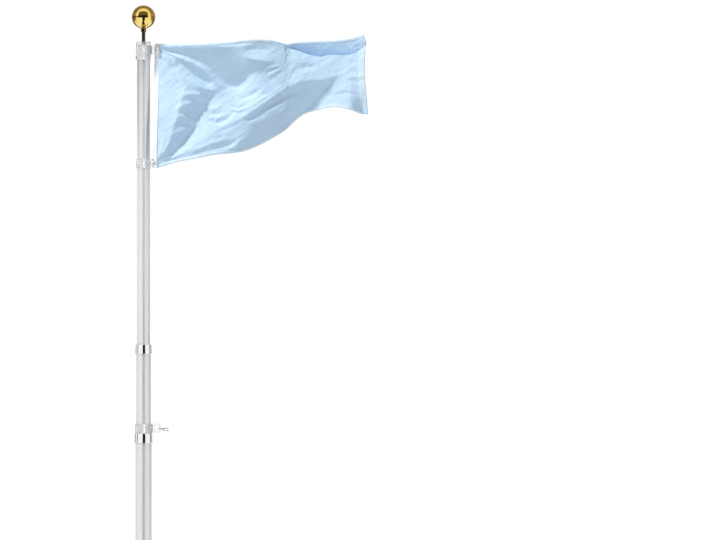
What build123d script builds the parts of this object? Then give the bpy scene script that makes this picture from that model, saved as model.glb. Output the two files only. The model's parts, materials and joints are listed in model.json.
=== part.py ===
"""Telescoping aluminium flagpole with a ball finial, swivelling flag rings and a flag.

Millimetres, +Z up. The origin is the centre of the pole's flat foot, and the
flag flies along +X. The pole is drawn part-raised: section 1 fully out,
sections 2 and 3 partly out, sections 4 and 5 still inside section 6.
"""

import os
from math import ceil, cos, hypot, radians, sin, sqrt

from build123d import *

os.makedirs("parts", exist_ok=True)

# Tubes, numbered from the top: section 1 is the thinnest, section 6 stands on the ground
top_tube_od = 41.5
tube_step = 5.0
tube_wall = 1.5
foot_tube_top = 829.0
foot_clearance = 20.0

# Bare tube that shows above a collar: as drawn, and where the pole isn't drawn closed there, fully closed
section_1_showing = 976.0
section_2_showing = 259.0
section_3_showing = 360.0
section_4_showing = 15.0
section_5_showing = 3.0
section_2_closed = 31.0
section_3_closed = 15.5

# Chrome collars, one on the top end of tubes 2 to 6
collar_height = 32.0
collar_wall = 3.0
collar_taper = 1.4
collar_lip = 3.0
collar_top_round = 2.4
collar_foot_round = 1.0

# Clearances
slide_clearance = 0.3
seat_clearance = 0.1

# Nylon glide sleeve round the lower end of tubes 1 to 5
sleeve_height = 30.0

# Foot cap under the lowest tube
foot_cap_rim = 5.0
foot_cap_spigot = 12.0
foot_cap_wall = 4.0

# Swivelling flag rings
ring_height = 30.0
ring_wall = 3.2
ring_chamfer = 0.6
lug_height = 28.0
lug_thickness = 5.0
lug_reach = 28.3
lug_hole_reach = 16.7
lug_hole_radius = 8.1
lug_bead = 2.5
lug_bead_thickness = 8.0
lug_corner_round = 4.0
lug_root_round = 6.0
lower_ring_turn = -48.0

# Stop band that holds the upper ring under the cap
band_height = 18.0
band_wall = 2.5
screw_shank_radius = 2.0
screw_head_radius = 4.5
screw_head_height = 2.2
screw_head_round = 0.9
screw_hex = 2.5
screw_hex_depth = 1.3

# Top cap and ball finial
cap_radius = 23.5
cap_height = 11.0
cap_groove = 1.2
cap_groove_heights = (2.6, 6.2)
cap_top_round = 1.6
cap_spigot = 18.0
cap_spigot_wall = 3.0
cap_boss_radius = 10.0
cap_boss_depth = 14.0
stem_radius = 5.85
stem_showing = 32.0
stem_below_boss = 4.0
stem_in_ball = 8.0
ferrule_radius = 8.2
ferrule_height = 12.0
ferrule_round = 1.2
ball_radius = 38.1
ball_wall = 1.2
ball_seam = 0.4
ball_tongue_rise = 3.0
ball_tongue_drop = 6.0
ball_tongue_wall = 1.0

# Flag, header and eyelets: heights are measured from the hole of the upper ring
hoist_drop = 371.5
flag_top_rise = 19.9
flag_foot_drop = 15.7
flag_length = 733.0
cloth_thickness = 1.2
header_width = 16.0
header_straight = 36.0
header_past_hole = 2.65
header_top_offset = 5.4
header_foot_reach = 62.0
eyelet_bore = 4.0
eyelet_barrel = 0.8
eyelet_flange_radius = 6.6
eyelet_flange = 0.7

# Wire clips and the spare snap hook
wire_radius = 1.2
clip_bend = 3.0
clip_clearance = 0.5
hook_tilt = 8.0
hook_reach = 38.1
hook_width = 10.0
hook_barrel_radius = 2.6
hook_barrel_length = 5.0
hook_gate_length = 8.0
hook_gate_radius = 0.8

# Tubes' outer diameters, and the bare tube between each collar and the next one up
tube_od = {number: top_tube_od + tube_step * (number - 1) for number in range(1, 7)}
raised_gap = {1: section_2_showing, 2: section_3_showing, 3: section_4_showing, 4: section_5_showing}
closed_gap = {1: section_2_closed, 2: section_3_closed, 3: section_4_showing, 4: section_5_showing}

# Heights of the collars' top edges, counted up from the foot
collar_top = {5: foot_tube_top + collar_lip}
for number in (4, 3, 2, 1):
    collar_top[number] = collar_top[number + 1] + raised_gap[number] + collar_height
cap_foot = collar_top[1] + section_1_showing

# Heights of the tubes' ends: closed, every lower end stands the same clearance above the ground
ring_stack = 2 * ring_height + band_height + 4 * slide_clearance
tube_top = {1: cap_foot}
tube_foot = {6: foot_cap_rim}
closed_top = foot_tube_top
for number in (5, 4, 3, 2):
    closed_top += closed_gap[number - 1] + collar_height
    tube_top[number] = collar_top[number - 1] - collar_lip
    tube_foot[number] = tube_top[number] - (closed_top - foot_clearance)
tube_top[6] = foot_tube_top
tube_foot[1] = cap_foot - (closed_top + collar_lip + ring_stack - foot_clearance)

# Distance of the lug's hole from the pole's axis, on the two rings of the top tube
lug_hole_distance = tube_od[1] / 2 + slide_clearance + ring_wall + lug_hole_reach

# Heights of the rings' middles, and of the stop band's lower edge
upper_ring_height = cap_foot - slide_clearance - ring_height / 2
lower_ring_height = upper_ring_height - hoist_drop
spare_ring_height = collar_top[2] + slide_clearance + ring_height / 2
band_foot = upper_ring_height - ring_height / 2 - slide_clearance - band_height

# Height of the ball's centre, where its underside rests on the ferrule
cap_top = cap_foot + cap_height
ferrule_foot = cap_top + stem_showing
ball_height = ferrule_foot + ferrule_height + sqrt((ball_radius + seat_clearance) ** 2 - ferrule_radius**2)


def save(part, name):
    """Label a finished piece and write it to its own file."""
    part.label = name
    export_step(part, f"parts/{name}.step")


def bearing(turn):
    """Level unit vector, turned from +X about the pole."""
    return Vector(cos(radians(turn)), sin(radians(turn)), 0)


def smooth(share):
    """Ease from 0 to 1 with level ends."""
    return share * share * (3 - 2 * share)


# Tubes
for number, diameter in tube_od.items():
    with BuildPart() as tube:
        with BuildSketch(Plane.XY.offset(tube_foot[number])):
            Circle(diameter / 2)
            Circle(diameter / 2 - tube_wall, mode=Mode.SUBTRACT)
        extrude(amount=tube_top[number] - tube_foot[number])
    save(tube.part, f"tube_{number}")

# Collars: a slightly conical ferrule, with a lip that guides the tube above
for number, top in collar_top.items():
    bore = tube_od[number + 1] / 2 + seat_clearance
    lip_bore = tube_od[number] / 2 + slide_clearance
    foot_radius = tube_od[number + 1] / 2 + collar_wall
    lip_foot = top - collar_lip
    with BuildPart() as collar:
        with BuildSketch(Plane.XZ):
            with BuildLine():
                Polyline(
                    (bore, top - collar_height),
                    (foot_radius, top - collar_height),
                    (foot_radius - collar_taper, top),
                    (lip_bore, top),
                    (lip_bore, lip_foot),
                    (bore, lip_foot),
                    close=True,
                )
            make_face()
        revolve(axis=Axis.Z)
        rims = collar.edges().filter_by(GeomType.CIRCLE)
        fillet(rims.sort_by(SortBy.RADIUS)[-1], radius=collar_foot_round)
        rims = collar.edges().filter_by(GeomType.CIRCLE).group_by(Axis.Z)[-1]
        fillet(rims.sort_by(SortBy.RADIUS)[-1], radius=collar_top_round)
    save(collar.part, f"collar_{number}")

# Glide sleeves: they fill the space between a tube's lower end and the bore round it
for number in (1, 2, 3, 4, 5):
    bore_around = tube_od[number + 1] / 2 - tube_wall
    with BuildPart() as sleeve:
        with BuildSketch(Plane.XY.offset(tube_foot[number])):
            Circle(bore_around - slide_clearance)
            Circle(tube_od[number] / 2 + seat_clearance, mode=Mode.SUBTRACT)
        extrude(amount=sleeve_height)
    save(sleeve.part, f"glide_sleeve_{number}")

# Foot cap: a rim as wide as the tube and a spigot inside it
spigot_radius = tube_od[6] / 2 - tube_wall - seat_clearance
with BuildPart() as foot_cap:
    with BuildSketch(Plane.XY):
        Circle(tube_od[6] / 2)
    extrude(amount=foot_cap_rim)
    with BuildSketch(Plane.XY.offset(foot_cap_rim)):
        Circle(spigot_radius)
        Circle(spigot_radius - foot_cap_wall, mode=Mode.SUBTRACT)
    extrude(amount=foot_cap_spigot)
    chamfer(foot_cap.edges().group_by(Axis.Z)[0], length=1.0)
save(foot_cap.part, "foot_cap")


def flag_ring(tube_radius, height, turn):
    """A plastic band with one flat lug, whose hole takes a flag clip."""
    bore_radius = tube_radius + slide_clearance
    band_radius = bore_radius + ring_wall
    tip = band_radius + lug_reach
    plan = Plane(origin=(0, 0, height), x_dir=bearing(turn), z_dir=(0, 0, 1))
    side = Plane(origin=(0, 0, height), x_dir=bearing(turn), z_dir=bearing(turn - 90))
    with BuildSketch() as lug_side:
        with Locations(((tip - band_radius) / 2, 0)):
            Rectangle(tip + band_radius, lug_height)
        fillet(lug_side.vertices().group_by(Axis.X)[-1], radius=lug_corner_round)
    with BuildPart() as ring:
        with BuildSketch(plan) as outline:
            Circle(band_radius)
            with Locations((tip / 2, 0)):
                Rectangle(tip, lug_thickness)
            fillet(outline.vertices().sort_by_distance((0, 0, 0))[:2], radius=lug_root_round)
        extrude(amount=lug_height / 2, both=True)
        with BuildSketch(side):
            add(lug_side.sketch)
        extrude(amount=band_radius, both=True, mode=Mode.INTERSECT)
        with BuildSketch(side):
            add(lug_side.sketch)
            with Locations((-lug_bead, 0)):
                add(lug_side.sketch, mode=Mode.SUBTRACT)
            with Locations((0, 0)):
                Rectangle(2 * band_radius, 2 * lug_height, mode=Mode.SUBTRACT)
        extrude(amount=lug_bead_thickness / 2, both=True)
        with BuildSketch(plan):
            Circle(band_radius)
        extrude(amount=ring_height / 2, both=True)
        rims = ring.edges().filter_by(GeomType.CIRCLE).group_by(Axis.Z)
        chamfer(rims[0] + rims[-1], length=ring_chamfer)
        with BuildSketch(plan):
            Circle(bore_radius)
        extrude(amount=ring_height, both=True, mode=Mode.SUBTRACT)
        with BuildSketch(side):
            with Locations((band_radius + lug_hole_reach, 0)):
                Circle(lug_hole_radius)
        extrude(amount=lug_thickness, both=True, mode=Mode.SUBTRACT)
    return ring.part


save(flag_ring(tube_od[1] / 2, upper_ring_height, 0), "flag_ring_upper")
save(flag_ring(tube_od[1] / 2, lower_ring_height, lower_ring_turn), "flag_ring_lower")
save(flag_ring(tube_od[2] / 2, spare_ring_height, 0), "flag_ring_spare")

# Stop band with one set screw, on the side away from the flag
band_bore = tube_od[1] / 2 + seat_clearance
band_radius = band_bore + band_wall
screw_plane = Plane(origin=(0, 0, band_foot + band_height / 2), x_dir=(0, 1, 0), z_dir=(-1, 0, 0))
with BuildPart() as stop_band:
    with BuildSketch(Plane.XY.offset(band_foot)):
        Circle(band_radius)
        Circle(band_bore, mode=Mode.SUBTRACT)
    extrude(amount=band_height)
    rims = stop_band.edges().filter_by(GeomType.CIRCLE).group_by(SortBy.RADIUS)[-1]
    chamfer(rims, length=ring_chamfer)
    with BuildSketch(screw_plane):
        Circle(screw_shank_radius + seat_clearance)
    extrude(amount=2 * band_radius, mode=Mode.SUBTRACT)
save(stop_band.part, "stop_band")

with BuildPart() as stop_screw:
    with BuildSketch(screw_plane.offset(tube_od[1] / 2 + seat_clearance)):
        Circle(screw_shank_radius)
    extrude(amount=band_wall)
    with BuildSketch(screw_plane.offset(band_radius)):
        Circle(screw_head_radius)
    extrude(amount=screw_head_height)
    fillet(stop_screw.edges().group_by(Axis.X)[0], radius=screw_head_round)
    with BuildSketch(screw_plane.offset(band_radius + screw_head_height)):
        RegularPolygon(radius=screw_hex / 2, side_count=6, major_radius=False)
    extrude(amount=-screw_hex_depth, mode=Mode.SUBTRACT)
save(stop_screw.part, "stop_screw")

# Top cap: a grooved disc on the top tube, with a spigot and a boss for the stem
cap_spigot_radius = tube_od[1] / 2 - tube_wall - seat_clearance
with BuildPart() as top_cap:
    with BuildSketch(Plane.XY.offset(cap_foot)):
        Circle(cap_radius)
    extrude(amount=cap_height)
    fillet(top_cap.edges().group_by(Axis.Z)[-1], radius=cap_top_round)
    for groove_height in cap_groove_heights:
        with BuildSketch(Plane.XY.offset(cap_foot + groove_height)):
            Circle(cap_radius)
            Circle(cap_radius - cap_groove, mode=Mode.SUBTRACT)
        extrude(amount=cap_groove, mode=Mode.SUBTRACT)
    with BuildSketch(Plane.XY.offset(cap_foot)):
        Circle(cap_spigot_radius)
        Circle(cap_spigot_radius - cap_spigot_wall, mode=Mode.SUBTRACT)
    extrude(amount=-cap_spigot)
    with BuildSketch(Plane.XY.offset(cap_foot)):
        Circle(cap_boss_radius)
    extrude(amount=-cap_boss_depth)
    with BuildSketch(Plane.XY.offset(cap_top)):
        Circle(stem_radius + seat_clearance)
    extrude(amount=-cap_height - cap_boss_depth, mode=Mode.SUBTRACT)
save(top_cap.part, "top_cap")

# Finial: stem, ferrule and a hollow ball of two spun halves
stem_foot = cap_foot - cap_boss_depth - stem_below_boss
stem_top = ball_height - ball_radius + stem_in_ball
with BuildPart() as stem:
    with BuildSketch(Plane.XY.offset(stem_foot)):
        Circle(stem_radius)
    extrude(amount=stem_top - stem_foot)
    chamfer(stem.edges().filter_by(GeomType.CIRCLE), length=1.0)
save(stem.part, "finial_stem")

with BuildPart() as ferrule:
    with BuildSketch(Plane.XY.offset(ferrule_foot)):
        Circle(ferrule_radius)
        Circle(stem_radius + seat_clearance, mode=Mode.SUBTRACT)
    extrude(amount=ferrule_height + ball_wall)
    foot_rims = ferrule.edges().filter_by(GeomType.CIRCLE).group_by(Axis.Z)[0]
    fillet(foot_rims.sort_by(SortBy.RADIUS)[-1], radius=ferrule_round)
    with Locations((0, 0, ball_height)):
        Sphere(ball_radius + seat_clearance, mode=Mode.SUBTRACT)
save(ferrule.part, "finial_ferrule")

seam_plane = Plane.XY.offset(ball_height)
tongue_radius = sqrt((ball_radius - ball_wall) ** 2 - ball_tongue_rise**2) - seat_clearance
with BuildPart() as ball_upper:
    with Locations((0, 0, ball_height)):
        Sphere(ball_radius)
        Sphere(ball_radius - ball_wall, mode=Mode.SUBTRACT)
    split(bisect_by=seam_plane, keep=Keep.TOP)
    rims = ball_upper.edges().filter_by(GeomType.CIRCLE).group_by(Axis.Z)[0]
    chamfer(rims.sort_by(SortBy.RADIUS)[-1], length=ball_seam)
save(ball_upper.part, "ball_upper")

with BuildPart() as ball_lower:
    with Locations((0, 0, ball_height)):
        Sphere(ball_radius)
        Sphere(ball_radius - ball_wall, mode=Mode.SUBTRACT)
    split(bisect_by=seam_plane, keep=Keep.BOTTOM)
    rims = ball_lower.edges().filter_by(GeomType.CIRCLE).group_by(Axis.Z)[-1]
    chamfer(rims.sort_by(SortBy.RADIUS)[-1], length=ball_seam)
    with BuildSketch(seam_plane.offset(-ball_tongue_drop)):
        Circle(tongue_radius)
        Circle(tongue_radius - ball_tongue_wall, mode=Mode.SUBTRACT)
    extrude(amount=ball_tongue_drop + ball_tongue_rise)
    with BuildSketch(seam_plane):
        Circle(stem_radius + seat_clearance)
    extrude(amount=-2 * ball_radius, mode=Mode.SUBTRACT)
save(ball_lower.part, "ball_lower")

# Hoist of the flag: a straight header that turns towards the lower ring's lug as it goes down
flag_top = upper_ring_height + flag_top_rise
flag_foot = lower_ring_height - flag_foot_drop
header_top_centre = Vector(lug_hole_distance + header_past_hole, header_top_offset, 0)
header_foot_centre = bearing(lower_ring_turn) * header_foot_reach


def hoist_plane(share):
    """Level plane across the header at a share of its drop, with x along the header's width."""
    straight = header_straight / (flag_top - flag_foot)
    eased = smooth(min(1, max(0, (share - straight) / (1 - 2 * straight))))
    centre = header_top_centre + (header_foot_centre - header_top_centre) * eased
    height = flag_top + (flag_foot - flag_top) * share
    return Plane(
        origin=centre + Vector(0, 0, height),
        x_dir=bearing(lower_ring_turn * eased),
        z_dir=(0, 0, 1),
    )


def upright(plane, height):
    """The plane's line across the header, stood up at a height to face the cloth."""
    return Plane(
        origin=Vector(plane.origin.X, plane.origin.Y, height),
        x_dir=plane.x_dir,
        z_dir=plane.x_dir.cross(Vector(0, 0, 1)),
    )


hole_top = sqrt(lug_hole_radius**2 - header_past_hole**2)
upper_wire_height = upper_ring_height + hole_top - slide_clearance - wire_radius
eyelet_slack = eyelet_bore - wire_radius - slide_clearance
upper_eyelet_plane = upright(hoist_plane(0), upper_wire_height - eyelet_slack)
lower_eyelet_plane = upright(hoist_plane(1), lower_ring_height)

header_bend = header_straight / (flag_top - flag_foot)
header_steps = 8
with BuildPart() as header:
    for step in range(header_steps + 1):
        with BuildSketch(hoist_plane(header_bend + (1 - 2 * header_bend) * step / header_steps)):
            Rectangle(header_width, cloth_thickness)
    loft()
    for end_plane, direction in ((hoist_plane(0), -1), (hoist_plane(1), 1)):
        with BuildSketch(end_plane):
            Rectangle(header_width, cloth_thickness)
        extrude(amount=direction * header_straight)
    for eyelet_plane in (upper_eyelet_plane, lower_eyelet_plane):
        with BuildSketch(eyelet_plane):
            Circle(eyelet_bore + eyelet_barrel + seat_clearance)
        extrude(amount=header_width / 2, both=True, mode=Mode.SUBTRACT)
save(header.part, "flag_header")


def eyelet(plane):
    """A brass eyelet: a short barrel through the header with a flange on each face."""
    half_grip = cloth_thickness / 2 + seat_clearance
    with BuildPart() as piece:
        with BuildSketch(plane):
            Circle(eyelet_bore + eyelet_barrel)
            Circle(eyelet_bore, mode=Mode.SUBTRACT)
        extrude(amount=half_grip, both=True)
        for side in (plane.offset(half_grip), plane.offset(-half_grip - eyelet_flange)):
            with BuildSketch(side):
                Circle(eyelet_flange_radius)
                Circle(eyelet_bore, mode=Mode.SUBTRACT)
            extrude(amount=eyelet_flange)
    return piece.part


save(eyelet(upper_eyelet_plane), "eyelet_upper")
save(eyelet(lower_eyelet_plane), "eyelet_lower")


def wire_loop(plane, length, width):
    """A closed loop of round wire with bent corners."""
    with BuildSketch(plane) as outline:
        RectangleRounded(length, width, clip_bend)
    path = outline.sketch.face().outer_wire()
    with BuildPart() as loop:
        with BuildSketch(Plane(origin=path @ 0, z_dir=path % 0)):
            Circle(wire_radius)
        sweep(path=path)
    return loop.part


# Upper clip: upright, through the lug's hole and the eyelet and over the header's top edge
eyelet_half = cloth_thickness / 2 + seat_clearance + eyelet_flange
clip_front = -lug_thickness / 2 - clip_bend
clip_back = header_top_offset + eyelet_half + clip_bend
upper_clip_top = flag_top + slide_clearance + wire_radius
upper_clip_plane = Plane(
    origin=(header_top_centre.X, (clip_front + clip_back) / 2, (upper_wire_height + upper_clip_top) / 2),
    x_dir=(0, 0, 1),
    z_dir=(1, 0, 0),
)
save(wire_loop(upper_clip_plane, upper_clip_top - upper_wire_height, clip_back - clip_front), "clip_upper")

# Lower clip: level, through the lug's hole, round its tip and through the eyelet
clip_inner = lug_hole_distance + lug_hole_radius - slide_clearance - wire_radius
clip_outer = header_foot_reach - eyelet_slack
clip_width = lug_bead_thickness + 2 * (clip_clearance + wire_radius)
lower_clip_plane = Plane(
    origin=bearing(lower_ring_turn) * ((clip_inner + clip_outer) / 2) + Vector(0, 0, lower_ring_height),
    x_dir=bearing(lower_ring_turn),
    z_dir=(0, 0, 1),
)
save(wire_loop(lower_clip_plane, clip_outer - clip_inner, clip_width), "clip_lower")

# Spare snap hook: an eye through the spare ring's lug, a barrel, and a hook that a gate closes
spare_hole = Vector(
    tube_od[2] / 2 + slide_clearance + ring_wall + lug_hole_reach,
    0,
    spare_ring_height,
)
hook_x = Vector(cos(radians(hook_tilt)), 0, -sin(radians(hook_tilt)))
level_plane = Plane(origin=spare_hole, x_dir=hook_x, z_dir=hook_x.cross(Vector(0, 1, 0)))
upright_plane = Plane(origin=spare_hole, x_dir=hook_x, z_dir=(0, -1, 0))
tip_swing = sqrt((lug_reach - lug_hole_reach - lug_corner_round) ** 2
                 + (lug_height / 2 - lug_corner_round) ** 2) + lug_corner_round
eye_inner = lug_hole_radius - clip_clearance - 2 * wire_radius
eye_outer = tip_swing + clip_clearance + wire_radius
hook_inner = eye_outer + hook_barrel_length - wire_radius
hook_outer = hook_reach - wire_radius
hook_bar = hook_width / 2 - wire_radius
gate_start = (hook_inner + hook_outer - hook_gate_length) / 2
eye_plane = level_plane.shift_origin(level_plane.from_local_coords(((eye_inner + eye_outer) / 2, 0, 0)))
loop_middle = upright_plane.from_local_coords(((hook_inner + hook_outer) / 2, 0, 0))
loop_plane = upright_plane.shift_origin(loop_middle)
with BuildPart() as hook:
    add(wire_loop(eye_plane, eye_outer - eye_inner, clip_width))
    add(wire_loop(loop_plane, hook_outer - hook_inner, 2 * hook_bar))
    with BuildSketch(Plane(origin=spare_hole + hook_x * (eye_outer - wire_radius / 2), z_dir=hook_x)):
        Circle(hook_barrel_radius)
    extrude(amount=hook_barrel_length)
    with BuildSketch(upright_plane):
        with Locations((gate_start + hook_gate_length / 2, -hook_bar)):
            Rectangle(hook_gate_length, 3 * wire_radius)
    extrude(amount=2 * wire_radius, both=True, mode=Mode.SUBTRACT)
save(hook.part, "snap_hook")

gate_end = spare_hole + hook_x * (gate_start + seat_clearance) - level_plane.z_dir * hook_bar
with BuildPart() as gate:
    with BuildSketch(Plane(origin=gate_end, z_dir=hook_x)):
        Circle(hook_gate_radius)
    extrude(amount=hook_gate_length - 2 * seat_clearance)
save(gate.part, "snap_hook_gate")

# Flag: edges and main folds as (x, y, z) in shares of its length, with x from the pole's axis and z from the
# upper ring's hole
flag_top_line = ((0.251, -0.016, 0.027), (0.506, -0.034, 0.044), (0.649, 0.014, 0.030), (0.840, 0.049, 0.045),
                 (0.981, 0.035, 0.070))
flag_fly_line = ((1.0, 0.030, 0.027), (0.990, -0.012, -0.020), (0.993, -0.018, -0.164),
                 (1.001, -0.022, -0.286))
flag_foot_line = ((0.917, -0.008, -0.265), (0.787, 0.038, -0.263), (0.707, 0.082, -0.289),
                  (0.581, 0.076, -0.385), (0.430, 0.003, -0.456), (0.243, -0.052, -0.484))
flag_folds = (
    # Crest along the top edge, and the valley at the foot of the upper hollow
    ((0.252, -0.019, 0.012), (0.443, -0.038, 0.017), (0.573, -0.019, 0.020)),
    ((0.118, 0.008, -0.004), (0.252, 0.029, -0.049), (0.336, 0.049, -0.122), (0.408, 0.055, -0.169),
     (0.506, 0.040, -0.107), (0.551, 0.016, -0.067)),
    # Ridge and small valley beside that valley
    ((0.145, 0.001, -0.031), (0.265, 0.015, -0.082), (0.363, 0.040, -0.176)),
    ((0.207, 0.022, -0.082), (0.283, 0.034, -0.131)),
    # Ridge beside the hoist, and the valley beyond it
    ((0.180, -0.008, -0.131), (0.180, -0.023, -0.198), (0.149, -0.048, -0.310), (0.109, -0.064, -0.443)),
    ((0.301, 0.035, -0.198), (0.269, 0.027, -0.256), (0.220, -0.005, -0.345), (0.153, -0.046, -0.443)),
    # Long ridge from the lower hoist corner, and the tongue below it
    ((0.145, -0.063, -0.479), (0.274, -0.025, -0.388), (0.430, 0.019, -0.283), (0.528, 0.027, -0.220),
     (0.693, 0.014, -0.129), (0.832, 0.001, -0.120)),
    ((0.510, 0.050, -0.292), (0.613, 0.053, -0.238), (0.613, 0.049, -0.272), (0.510, 0.041, -0.330),
     (0.430, 0.003, -0.414)),
    # Valley before the lower fly corner, and the swell beside the fly edge
    ((0.827, 0.023, -0.158), (0.747, 0.067, -0.240)),
    ((0.921, -0.015, -0.069), (0.930, -0.014, -0.131), (0.912, -0.005, -0.198)),
    # Rolled top edge: its back and its front
    ((0.698, 0.046, 0.005), (0.791, 0.065, -0.013), (0.921, 0.061, -0.002)),
    ((0.649, -0.008, 0.003), (0.698, -0.011, -0.011), (0.791, -0.011, -0.038), (0.921, -0.012, -0.029)),
)
flag_columns = 20
flag_rows = 10
edge_marks = 2 * flag_columns
fold_spacing = 12.0
fold_sharpness = 3.0


def flag_place(shares):
    """Point of the cloth from shares of the flag's length."""
    x, y, z = (share * flag_length for share in shares)
    return Vector(x, y, upper_ring_height + z)


def hoist_edge_point(share):
    """Edge of the cloth beside the header at a share of its drop."""
    plane = hoist_plane(share)
    gap = slide_clearance + cloth_thickness * abs(plane.x_dir.Y)
    return plane.from_local_coords((header_width / 2 + gap, -cloth_thickness / 2, 0))


top_edge = Spline(hoist_edge_point(0), *(flag_place(point) for point in flag_top_line))
foot_edge = Spline(hoist_edge_point(1), *(flag_place(point) for point in flag_foot_line[::-1]),
                   flag_place(flag_fly_line[-1]))
fly_edge = Spline(flag_place(flag_top_line[-1]), *(flag_place(point) for point in flag_fly_line))

fold_marks = []
for mark in range(edge_marks + 1):
    share = mark / edge_marks
    fold_marks += [top_edge @ share, foot_edge @ share, fly_edge @ share, hoist_edge_point(share)]
for fold in flag_folds:
    for start, end in zip(fold, fold[1:]):
        reach = flag_place(end) - flag_place(start)
        steps = ceil(reach.length / fold_spacing)
        fold_marks += [flag_place(start) + reach * (step / steps) for step in range(steps + 1)]


def fold_depth(x, z):
    """Depth of the cloth at a place of the front view, from the marks on the edges and folds round it."""
    weights = [(hypot(x - mark.X, z - mark.Z) + cloth_thickness) ** -fold_sharpness for mark in fold_marks]
    return sum(weight * mark.Y for weight, mark in zip(weights, fold_marks)) / sum(weights)


def flag_point(along, down):
    """Point of the cloth: its edges blended across the front view, at the depth of the folds."""
    blend = (top_edge @ along) * (1 - down) + (foot_edge @ along) * down
    blend += hoist_edge_point(down) * (1 - along) + (fly_edge @ down) * along
    blend -= (top_edge @ 0) * ((1 - along) * (1 - down)) + (top_edge @ 1) * (along * (1 - down))
    blend -= (foot_edge @ 0) * ((1 - along) * down) + (foot_edge @ 1) * (along * down)
    return Vector(blend.X, fold_depth(blend.X, blend.Z), blend.Z)


flag_grid = [
    [flag_point(column / flag_columns, row / flag_rows) for row in range(flag_rows + 1)]
    for column in range(flag_columns + 1)
]
flag_face = Face.make_surface_from_array_of_points(flag_grid, max_deg=2)
with BuildPart() as flag:
    extrude(flag_face, amount=cloth_thickness, dir=(0, 1, 0))
save(flag.part, "flag")
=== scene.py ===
"""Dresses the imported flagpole: materials, the flag and its header, floor, light and camera.

Metres, +Z up. The flag's shape is drawn in the front view, as the camera sees it: x from the
pole's axis, z from the hole of the upper ring, and depth away from the camera.
"""

import json
from math import cos, pi, radians, sin

import bpy
import numpy as np
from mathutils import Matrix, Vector


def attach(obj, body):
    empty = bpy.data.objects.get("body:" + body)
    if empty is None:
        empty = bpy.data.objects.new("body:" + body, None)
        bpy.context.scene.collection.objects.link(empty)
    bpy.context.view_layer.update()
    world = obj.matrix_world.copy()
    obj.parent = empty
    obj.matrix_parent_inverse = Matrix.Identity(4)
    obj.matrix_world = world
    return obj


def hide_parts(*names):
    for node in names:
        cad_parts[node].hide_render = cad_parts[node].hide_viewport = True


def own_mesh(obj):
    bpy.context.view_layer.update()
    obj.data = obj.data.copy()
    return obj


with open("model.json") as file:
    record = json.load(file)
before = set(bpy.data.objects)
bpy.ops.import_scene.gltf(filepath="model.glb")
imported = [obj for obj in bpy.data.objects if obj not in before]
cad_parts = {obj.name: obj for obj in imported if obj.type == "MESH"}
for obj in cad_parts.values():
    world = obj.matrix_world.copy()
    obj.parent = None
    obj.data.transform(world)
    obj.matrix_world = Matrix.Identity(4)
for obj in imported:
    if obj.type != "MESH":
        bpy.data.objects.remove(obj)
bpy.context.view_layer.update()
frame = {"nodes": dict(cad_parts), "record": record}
nodes = frame["nodes"]
scene = bpy.context.scene

# Sizes that the CAD model has too
RING_HEIGHT = 2.5577
HOIST_DROP = 0.3715
FLAG_TOP = 2.5776
FLAG_FOOT = 2.1705
HEADER_WIDTH = 0.016
HEADER_STRAIGHT = 0.036
HEADER_TOP = np.array((0.0436, 0.0054))
HEADER_FOOT_REACH = 0.062
LOWER_RING_TURN = -48.0
EYELET_RADIUS = 0.0049
LOWER_RING_HEIGHT = RING_HEIGHT - HOIST_DROP
COLLAR_1_HEIGHT = 1.581
COLLAR_2_HEIGHT = 1.290

# Cloth, hems and header
CLOTH_THICKNESS = 0.0005
HEM_THICKNESS = 0.0013
HEADER_THICKNESS = 0.0018
HEADER_OVERLAP = 0.003
FLY_HEM = 0.022
LONG_HEM = 0.009
HEM_REACH = 0.2  # share of a cell that a hem stands past the cloth's edge
SPARE_CLOTH = 1.01  # length of the flat cut to the mean length of its drawn rows

# Stitches and seams
STITCH = 0.0032
STITCH_HALF = 0.38  # half a stitch's length as a share of the pitch
STITCH_CORNERS = 6
THREAD = 0.0005
SEAM_INSET = 0.0015
SEAM_END = 0.001
SEAM_POINTS = 120

# Cells of the flag from hoist to fly and from top to foot, and of the header across its width
COLUMNS = 252
ROWS = 142
TAPE_CELLS = 8
FINE_ROWS = 400  # points down each thread before it is rolled

# Cloth run: how firmly the cloth is pulled to the drawn shape, and by which frame it gets there
PULL = 0.8
PULL_STIFFNESS = 6.0
PULL_FRAMES = 16
FRAMES = 28
TENSION = 15.0
SHEAR = 5.0
BENDING = 0.05

# Points inside the roll
CLIMB = 0.0003  # metres that a thread climbs there from row to row, at least
PAST_RIDGE = 3  # rows past its last climb that are held with it

# Most values of a noise texture lie between these
NOISE_LOW = 0.3
NOISE_HIGH = 0.7

# Studio, and how far the small cards round the collars stand from the pole's axis
WHITE = (1, 1, 1, 1)
STAGE_ROUGHNESS = 0.9
COLLAR_CARD_REACH = 0.3


# Materials


def principled(material):
    return material.node_tree.nodes["Principled BSDF"]


def new_material(name, color, metallic=0.0, roughness=0.5, **sockets):
    """A material with its Principled shader's constant values set on the shader itself."""
    material = bpy.data.materials.new(name)
    material.use_nodes = True
    shader = principled(material)
    shader.inputs["Base Color"].default_value = (*color, 1)
    shader.inputs["Metallic"].default_value = metallic
    shader.inputs["Roughness"].default_value = roughness
    for socket, value in sockets.items():
        shader.inputs[socket.replace("_", " ")].default_value = value
    return material


def add_node(owner, kind, **inputs):
    """A node of a material or of the world, with constant inputs set by name."""
    node = owner.node_tree.nodes.new(kind)
    for name, value in inputs.items():
        node.inputs[name.replace("_", " ")].default_value = value
    return node


def link(owner, source, output, target, socket):
    owner.node_tree.links.new(source.outputs[output], target.inputs[socket])


def math_node(owner, operation, first, second):
    """A math node on two output sockets."""
    node = add_node(owner, "ShaderNodeMath")
    node.operation = operation
    owner.node_tree.links.new(first, node.inputs[0])
    owner.node_tree.links.new(second, node.inputs[1])
    return node


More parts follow.
